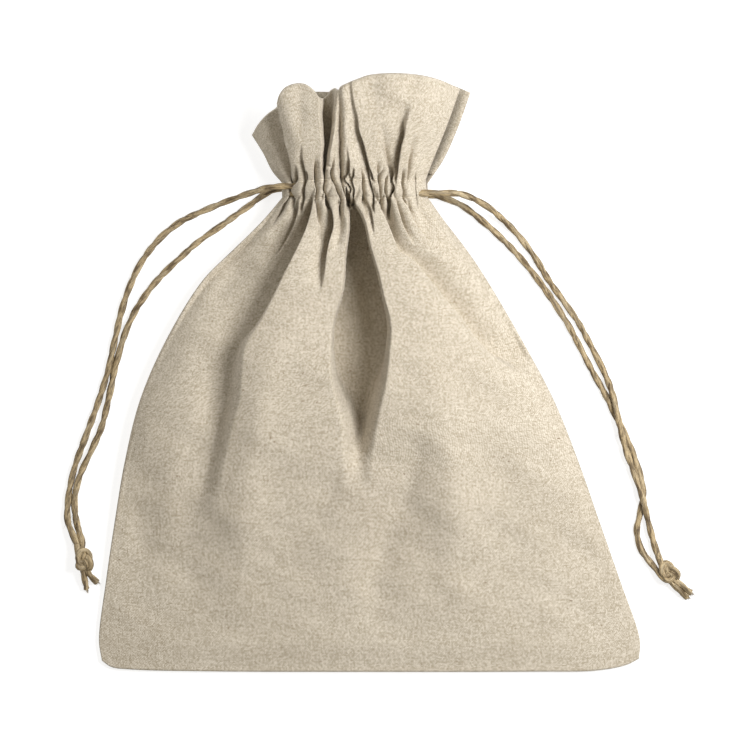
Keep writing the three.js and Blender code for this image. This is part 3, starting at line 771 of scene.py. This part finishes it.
def back_surface():
    """The back's inner face, and the rise of each of its points. It lies flat and turns up at its
    side seams."""
    x, y, rise, across = cloth_grid(BACK_LEFT, BACK_RIGHT, BACK_RIM, *BACK_GRID)
    inside = 1 - np.abs(across)
    reach = 0.10 + 0.25 * ease(rise, 0.3, 0.9)
    turn_up = ease(np.abs(across), 1 - reach, 1.0) ** 1.4
    up = np.clip(rise - 2, 0, 1)
    # Above the left slit the back ruffle only curls a little. The right slit dips round its cords.
    on_ruffle = ease(rise, 1.0, 2.0)
    seam_z = edge_height(rise) - SEAM_GAP
    left_z = seam_z * (1 - on_ruffle) + (1.2 + 2.4 * up) * on_ruffle
    right_z = seam_z - 0.5 + 2.6 * up - 7.2 * np.exp(-(((rise - 1.45) / 0.42) ** 2))
    z = FLAT_BACK + (np.where(across > 0, right_z, left_z) - FLAT_BACK) * turn_up
    fold = np.zeros(x.shape)
    bent = x + 0.7 * wobble_field(x, y, 21, 12)
    rng = np.random.default_rng(23)
    # Creases stand up at the channel and fan out from it, every other one running far down.
    feet = np.linspace(-29.5, 17.5, BACK_CREASES) + rng.normal(0, 0.5, BACK_CREASES)
    for k, foot in enumerate(feet):
        spread = (foot + 6) / 24
        tall = rng.uniform(5.2, 7.0)
        end_y = rng.uniform(18, 50) if k % 2 else rng.uniform(-45, 0)
        low_x = -6 + spread * (26 + 0.62 * (66 - end_y))
        fold -= groove(bent, y, [
            (foot + 3.0 * spread, 94, 0, 1.2),
            (foot + 1.0 * spread, 81, 0.6 * tall, 0.8),
            (foot, RUFFLE_Y, tall, 0.6),
            (foot, NECK_Y, tall, 0.6),
            (foot + 3.5 * spread, 58, 0.9 * tall, 0.85),
            (0.45 * foot + 0.55 * low_x, 0.45 * 60 + 0.55 * end_y, 0.7 * tall, 1.3),
            (low_x, end_y, 0, 2.0),
        ])
    z += fold * ease(inside, 0.02, 0.12)
    # The front lies on the back where its hollows reach down to it.
    z = np.minimum(z, np.maximum(front_place(x, y, rise, across)[2] - LAYERS, LOWEST_BACK))
    return as_seen(np.dstack([x, y, z])), rise


# ---- the cords

CORD = 2.4
FLOOR_Z = 1.3  # a cord's middle, where it lies on the table
OVER_Z = 3.7  # and where it passes over the other strand
CHANNEL_MID_Y = 68.5
HALF_GAP = 1.375  # the two cords lie side by side in the channels
LEFT_CORD_Y = CHANNEL_MID_Y + HALF_GAP
RIGHT_CORD_Y = CHANNEL_MID_Y - HALF_GAP
FRONT_CORD_Z = 15.5
BACK_CORD_Z = 3.0
CHANNEL_LEFT = -28.5
CHANNEL_RIGHT = 16.0
INSIDE = 17.0  # how far into its channel each strand starts
LEFT_TURN, RIGHT_TURN = 13.6, -26.2  # where each cord turns round, inside the far slit

# Each strand from its slit to its knot. A point with no height lies on the table.
LEFT_FRONT_ROUTE = [
    (-37, 69.6, 14.2), (-47, 67, 10), (-60, 62.4, 5), (-72, 57, 1.8), (-80, 50.5), (-86.6, 42), (-91.4, 32),
    (-94.6, 22), (-97.3, 10), (-99.6, 0), (-103.8, -13.2), (-108.7, -26.5), (-112.5, -37.5), (-114.4, -48),
    (-114.6, -55.5, 1.6), (-112.6, -61, 2.6), (-111, -64.6, 3.4),
]
LEFT_BACK_ROUTE = [
    (-37, 69, 2.2), (-48, 61.8), (-56, 56), (-65.4, 49.4), (-73.7, 42), (-82, 33.6), (-88.6, 24.2),
    (-93.2, 14), (-96.4, 3), (-99.2, -10), (-101.9, -20.7), (-106, -30.1), (-110.1, -39.2), (-112, -48.5),
    (-111, -57.5), (-108.9, -64.6, 2.2),
]
RIGHT_FRONT_ROUTE = [
    (25, 67.4, 14.4), (34, 67, 11.5), (43.2, 63, 7), (50, 57.6, 3.4), (56.4, 51, 1.6), (62.2, 43.2),
    (66.8, 35.5), (71.8, 28.4), (77.6, 20.2), (82.9, 10.6), (88.2, 0, 1.6), (91.4, -9, 2.8),
    (93.4, -18, OVER_Z), (96, -28.5, 3.1), (99.6, -38.5, 2.8), (102.8, -48.4, OVER_Z), (104.6, -56, 2.6),
    (107, -65, 2.6), (108.8, -70.4, 3.8),
]
RIGHT_BACK_ROUTE = [
    (25, 66.8, 2.6), (34, 63.4, 1.4), (43, 56.6), (50.4, 49.8), (56.8, 43), (62.4, 36), (67.8, 28.6),
    (73, 20.6), (77.8, 12), (83.1, 1.6), (88.6, -8.4), (93.4, -18.2), (98, -28), (101.6, -38.5),
    (102.9, -46), (101.6, -53), (100.4, -60), (102.2, -67), (106, -72.2, 2.2),
]


def frames_along(path):
    """Two unit vectors across the path at each of its points, without twist."""
    tangent = np.gradient(path, axis=0)
    tangent /= np.linalg.norm(tangent, axis=1, keepdims=True) + 1e-12
    first = np.cross(tangent[0], (0, 0, 1.0))
    if np.linalg.norm(first) < 0.2:
        first = np.cross(tangent[0], (1.0, 0, 0))
    side = [first / np.linalg.norm(first)]
    for t in tangent[1:]:
        s = side[-1] - t * (side[-1] @ t)
        side.append(s / np.linalg.norm(s))
    side = np.array(side)
    return side, np.cross(tangent, side)


def tube_mesh(path, radius, sides, uv_start=0.0):
    """Vertices, faces and cloth coordinates of a closed tube of changing radius."""
    side, up = frames_along(path)
    turn = np.linspace(0, 2 * math.pi, sides, endpoint=False)
    radius = np.broadcast_to(radius, (len(path),))[:, None, None]
    ring = side[:, None, :] * np.cos(turn)[None, :, None] + up[:, None, :] * np.sin(turn)[None, :, None]
    points = path[:, None, :] + ring * radius
    run = run_along(path) + uv_start
    uv = np.stack(np.broadcast_arrays(run[:, None], (turn / math.pi)[None, :]), axis=-1)
    k = np.arange(len(path) * sides).reshape(len(path), sides)
    after = np.roll(k, -1, axis=1)
    walls = np.stack([k[:-1], after[:-1], after[1:], k[1:]], axis=-1).reshape(-1, 4)
    centre = len(path) * sides
    low_cap = [(centre, after[0, i], k[0, i]) for i in range(sides)]
    high_cap = [(centre + 1, k[-1, i], after[-1, i]) for i in range(sides)]
    points = np.vstack([points.reshape(-1, 3), path[:1], path[-1:]])
    uv = np.vstack([uv.reshape(-1, 2), [[run[0], 0]], [[run[-1], 0]]])
    return points, [tuple(f) for f in walls[:, ::-1]] + low_cap + high_cap, uv


class Parts:
    """Collects tubes into one mesh."""

    def __init__(self):
        self.points, self.faces, self.uv, self.count = [], [], [], 0

    def add(self, points, faces, uv):
        self.points.append(points)
        self.faces += [tuple(i + self.count for i in f) for f in faces]
        self.uv.append(uv)
        self.count += len(points)

    def make(self, name, material):
        return make_mesh(name, np.vstack(self.points), self.faces, material, np.vstack(self.uv))


def length_of(path):
    """The path's whole length."""
    return np.linalg.norm(np.diff(path, axis=0), axis=1).sum()


def stand_for(piece, body, slot, *nodes):
    """The piece moves with a body and stands for the CAD nodes, whose parts are hidden. The slot is not used.
    """
    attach(piece, body)
    if nodes:
        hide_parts(*nodes)


def add_twine(parts, path, rng, radius=CORD / 2, pitch=15.0, start=0.0):
    """Twine of two plies laid round each other, a little uneven."""
    steps = max(8, int(length_of(path) / 0.5))
    path = smooth_curve(path, steps)
    side, up = frames_along(path)
    run = run_along(path)
    wobble = smooth_curve(rng.normal(0, 1, (max(6, int(run[-1] / 5)), 3)), steps)
    turn = 2 * math.pi * run / pitch + 0.35 * wobble[:, 0]
    for ply in (0, 1):
        angle = (turn + math.pi * ply)[:, None]
        swell = 1 + 0.05 * wobble[:, 1 + ply]
        centre = path + (side * np.cos(angle) + up * np.sin(angle)) * 0.25 * radius
        parts.add(*tube_mesh(centre, 0.84 * radius * swell, 12, start + 300 * ply + 37 * rng.random()))


def add_fibres(parts, path, rng, per_mm=0.9):
    """Loose fibres that stand off the twine."""
    path = smooth_curve(path, 400)
    side, up = frames_along(path)
    tangent = np.gradient(path, axis=0)
    tangent /= np.linalg.norm(tangent, axis=1, keepdims=True)
    thick = np.linspace(0.05, 0.018, 6)
    for _ in range(int(length_of(path) * per_mm)):
        k = rng.integers(4, 396)
        a = rng.uniform(0, 2 * math.pi)
        out = side[k] * math.cos(a) + up[k] * math.sin(a)
        root = path[k] + out * (CORD / 2) * 0.8
        lean = tangent[k] * rng.choice([-1, 1]) * rng.uniform(0.5, 2.0) + out * rng.uniform(0.3, 1.0)
        lean /= np.linalg.norm(lean)
        size = rng.uniform(0.5, 2.2)
        bow = np.cross(lean, out) * rng.normal(0, 0.25) * size
        tip = root + lean * size
        tip[2] = max(tip[2], 0.15)
        middle = 0.5 * (root + tip) + bow
        middle[2] = max(middle[2], 0.12)
        parts.add(*tube_mesh(smooth_curve([root, middle, tip], 6), thick, 3, 50 * rng.random()))


def add_frayed_end(parts, path, rng):
    """The fibres that splay out of a cut end."""
    end = np.asarray(path[-1])
    way = end - path[-2]
    way /= np.linalg.norm(way)
    thick = np.linspace(0.11, 0.03, 5)
    for _ in range(18):
        tip = end + way * rng.uniform(0.5, 1.6) + rng.normal(0, 0.5, 3)
        tip[2] = max(tip[2], 0.15)
        root = end + rng.normal(0, 0.4, 3) - way * 0.4
        middle = 0.5 * (root + tip) + rng.normal(0, 0.1, 3)
        parts.add(*tube_mesh(smooth_curve([root, middle, tip], 5), thick, 4, 50 * rng.random()))


def laid(route):
    """The route with its points that have no height laid on the table."""
    return [p if len(p) == 3 else (*p, FLOOR_Z) for p in route]


def strand_route(route, inside_x, y, z):
    """The whole strand: from inside the channel, out of it, and along the route to the knot."""
    out = CHANNEL_LEFT if route[0][0] < 0 else CHANNEL_RIGHT
    return [(inside_x, y, z), (0.5 * (inside_x + out), y, z), (out, y, z)] + laid(route)


def knot_paths(entries, centre, axis, exits):
    """Both strands' paths through one overhand knot: a tight trefoil of two strands side by side."""
    axis = np.array([*axis, 0.0]) / math.hypot(*axis)
    across = np.array([-axis[1], axis[0], 0.0])
    t = np.linspace(math.pi + 0.42, 3 * math.pi - 0.42, 70)
    trefoil = [np.sin(t) + 2 * np.sin(2 * t), np.cos(t) - 2 * np.cos(2 * t) + 1.4, -np.sin(3 * t)]
    loop = np.stack(trefoil, axis=1)
    loop *= np.array([KNOT_SIZE, 0.8 * KNOT_SIZE, 1.35])
    drift = np.gradient(loop, axis=0)
    beside = np.stack([-drift[:, 1], drift[:, 0], 0 * drift[:, 0]], axis=1)
    beside /= np.linalg.norm(beside, axis=1, keepdims=True)
    turned = np.array([axis, across, (0, 0, 1)])
    paths = []
    for entry, leave, half in zip(entries, exits, (0.85, -0.85)):
        own = (loop + beside * half) @ turned + np.asarray(centre)
        own[:, 2] = np.maximum(own[:, 2], CORD / 2)
        paths.append(np.vstack([entry, own[::5], np.asarray(centre) + np.asarray(leave)]))
    return paths


KNOT_SIZE = 1.05
# Each drawstring: its strands' routes, where they start inside the channels, its knot's middle and
# direction, and where its two cut ends lie from the knot's middle.
DRAWSTRINGS = {
    "left": (
        (LEFT_FRONT_ROUTE, LEFT_BACK_ROUTE), CHANNEL_LEFT + INSIDE, LEFT_CORD_Y,
        (-109.6, -71, 3.9), (0.25, -1),
        ([(1.4, -6, -1), (2.2, -10.6, -2.5)], [(3.4, -5, -0.6), (6, -8, -2.5)]),
    ),
    "right": (
        (RIGHT_FRONT_ROUTE, RIGHT_BACK_ROUTE), CHANNEL_RIGHT - INSIDE, RIGHT_CORD_Y,
        (111.2, -76.2, 3.9), (0.8, -0.75),
        ([(5, -3.2, -0.8), (9.6, -6.8, -2.5)], [(3.9, -4.6, -1), (8.3, -8.4, -2.5)]),
    ),
}


def build_cords():
    """Both drawstrings outside the pouch: two strands each, their loose fibres, and the knot."""
    rng = np.random.default_rng(SEED)
    for name, (routes, inside, y, centre, axis, ends) in DRAWSTRINGS.items():
        body = name + "_drawstring"
        knot = Parts()
        entries = [laid(route[-2:]) for route in routes]
        for path in knot_paths(entries, centre, axis, ends):
            add_twine(knot, path, rng, radius=1.15, pitch=12.0, start=900)
            add_fibres(knot, path, rng, per_mm=0.8)
            add_frayed_end(knot, path, rng)
        knot_piece = knot.make(name + "_overhand_knot", TWINE)
        stand_for(knot_piece, body, "hemp_twine", name + "_knot")
        for which, route, z in zip(("front", "back"), routes, (FRONT_CORD_Z, BACK_CORD_Z)):
            whole = strand_route(route, inside, y, z)
            strand = Parts()
            add_twine(strand, whole, rng)
            piece = strand.make(f"{name}_{which}_twine", TWINE)
            stand_for(piece, body, "hemp_twine", f"{name}_{which}_strand")
            path = smooth_curve(whole, 120) * MM
            round(float(length_of(path)), 3)
            hair = Parts()
            add_fibres(hair, whole[3:], rng)
            stand_for(hair.make(f"{name}_{which}_fibres", TWINE), body, "hemp_twine")


def build_channel_cords():
    """The rest of each cord, round both channels, turning round inside the far slit."""
    rng = np.random.default_rng(SEED + 1)
    clear = 0.4  # between this part of a cord and the strands that slide
    bend = 0.5 * (FRONT_CORD_Z - BACK_CORD_Z)
    turn = [math.pi * (0.5 - k / 8) for k in range(9)]
    for name, start, far, y in (
        ("left", CHANNEL_LEFT + INSIDE + clear, LEFT_TURN, LEFT_CORD_Y),
        ("right", CHANNEL_RIGHT - INSIDE - clear, RIGHT_TURN, RIGHT_CORD_Y),
    ):
        out = 0.85 * math.copysign(bend, far - start)
        path = [(start, y, FRONT_CORD_Z), (0.5 * (start + far), y, FRONT_CORD_Z)]
        path += [(far + out * math.cos(a), y, BACK_CORD_Z + bend + bend * math.sin(a)) for a in turn]
        path += [(0.5 * (start + far), y, BACK_CORD_Z), (start, y, BACK_CORD_Z)]
        parts = Parts()
        add_twine(parts, path, rng)
        piece = parts.make(name + "_channel_twine", TWINE)
        stand_for(piece, "pouch", "hemp_twine", name + "_cord_in_channel")


# ---- the cloth and its sewing

CLOTH = 0.5
LINING = 0.45
HEM = 0.4
LINING_START = 2.1  # the rise at which the linings and the hems start
# For each half: the lining's depth inside the cloth and the columns it leaves at the slits, then
# the hem's depth and its width in columns.
INSIDES = {"front": (-0.75, 6, -0.62, 11), "back": (0.6, 3, 1.1, 21)}
# The rise of the stitching, and one stitch's length, the gap to the next, its lift and its radius.
STITCHING = {"upper": 1.95, "lower": 1.02}
STITCH, GAP, LIFT, THREAD_RADIUS = 2.6, 0.9, 0.1, 0.17


def stitch_row(name, line, node):
    """Separate stitches along one row of a cloth surface, from one channel end to the other."""
    line = line + np.array([0, 0, LIFT])
    line = line[(line[:, 0] > -32.2) & (line[:, 0] < 20.2)]
    run = run_along(line)
    parts = Parts()
    start = 0.4
    while start + STITCH < run[-1]:
        spots = along(line, run, start + STITCH * np.array([0, 0.12, 0.5, 0.88, 1]))
        spots[[0, -1], 2] -= 2 * LIFT
        thick = THREAD_RADIUS * np.array([0.6, 0.95, 1, 1, 1, 0.95, 0.6])
        parts.add(*tube_mesh(smooth_curve(spots, 7), thick, 6))
        start += STITCH + GAP
    stand_for(parts.make(name, THREAD), "pouch", "sewing_thread", node)


def coarse_grid(surface, rise):
    """The panel sampled evenly up and across, so that both panels' points lie over each other."""
    columns = np.linspace(0, 1, surface.shape[1])
    picked = [surface[int(np.argmin(np.abs(rise[:, 0] - t)))] for t in np.linspace(0, 1, 60)]
    return np.array([along(row, columns, np.linspace(0, 1, 120)) for row in picked])


def seam_strip(name, front, back, rows, columns, node):
    """A seam allowance pressed together inside the pouch, between the two panels."""
    low = back[rows][:, columns]
    high = front[rows][:, columns]
    grid = low.copy()
    grid[..., 2] = 0.5 * (low[..., 2] + high[..., 2] - CLOTH) + 0.2
    stand_for(thick_sheet(name, grid, HEM, LINEN_INSIDE), "pouch", "linen_cloth", node)


def turn_with_ruffle(piece, half, *nodes):
    """The piece's placement is baked into its mesh, and it stands for the CAD nodes, whose parts are hidden.
    The half is not used.
    """
    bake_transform(piece)
    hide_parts(*nodes)


def build_cloth():
    """Both panels with their ruffles, linings and hems, then the stitching and the inside seams."""
    halves = {"front": front_surface(), "back": back_surface()}
    for half, (surface, _) in halves.items():
        cloth = thick_sheet(half + "_cloth", surface, CLOTH, LINEN)
        turn_with_ruffle(cloth, half, half + "_panel", half + "_casing", half + "_ruffle")

    # The linings run from just above the channel to the folded rim.
    for half, (surface, rise) in halves.items():
        depth, trim, _, _ = INSIDES[half]
        first = int(np.argmax(rise[:, 0] > LINING_START))
        grid = (surface + normals_of(surface) * depth)[first:-1, trim:-trim]
        turn_with_ruffle(thick_sheet(half + "_lining", grid, LINING, LINEN_INSIDE), half, half + "_facing")

    # A narrow hem is turned in along each slit edge.
    for half, (surface, rise) in halves.items():
        _, _, depth, wide = INSIDES[half]
        first = int(np.argmax(rise[:, 0] > LINING_START))
        inside = (surface + normals_of(surface) * depth)[first:-2]
        for side, columns in (("left", slice(1, wide)), ("right", slice(-wide, -1))):
            piece = thick_sheet(f"{half}_{side}_hem", inside[:, columns], HEM, LINEN_INSIDE)
            turn_with_ruffle(piece, half, f"{half}_{side}_slit_hem")

    for half, (surface, rise) in halves.items():
        for level, height in STITCHING.items():
            row = int(np.argmin(np.abs(rise[:, 0] - height)))
            stitch_row(f"{half}_{level}_stitches", surface[row], f"{half}_{level}_stitching")

    front, back = (coarse_grid(*halves[half]) for half in ("front", "back"))
    seam_strip("left_seam_allowance", front, back, slice(3, 58), slice(1, 5), "left_side_seam")
    seam_strip("right_seam_allowance", front, back, slice(3, 58), slice(-5, -1), "right_side_seam")
    seam_strip("bottom_seam_allowance", front, back, slice(1, 4), slice(6, -6), "bottom_seam")


add_camera()
add_studio()
build_cords()
build_channel_cords()
build_cloth()
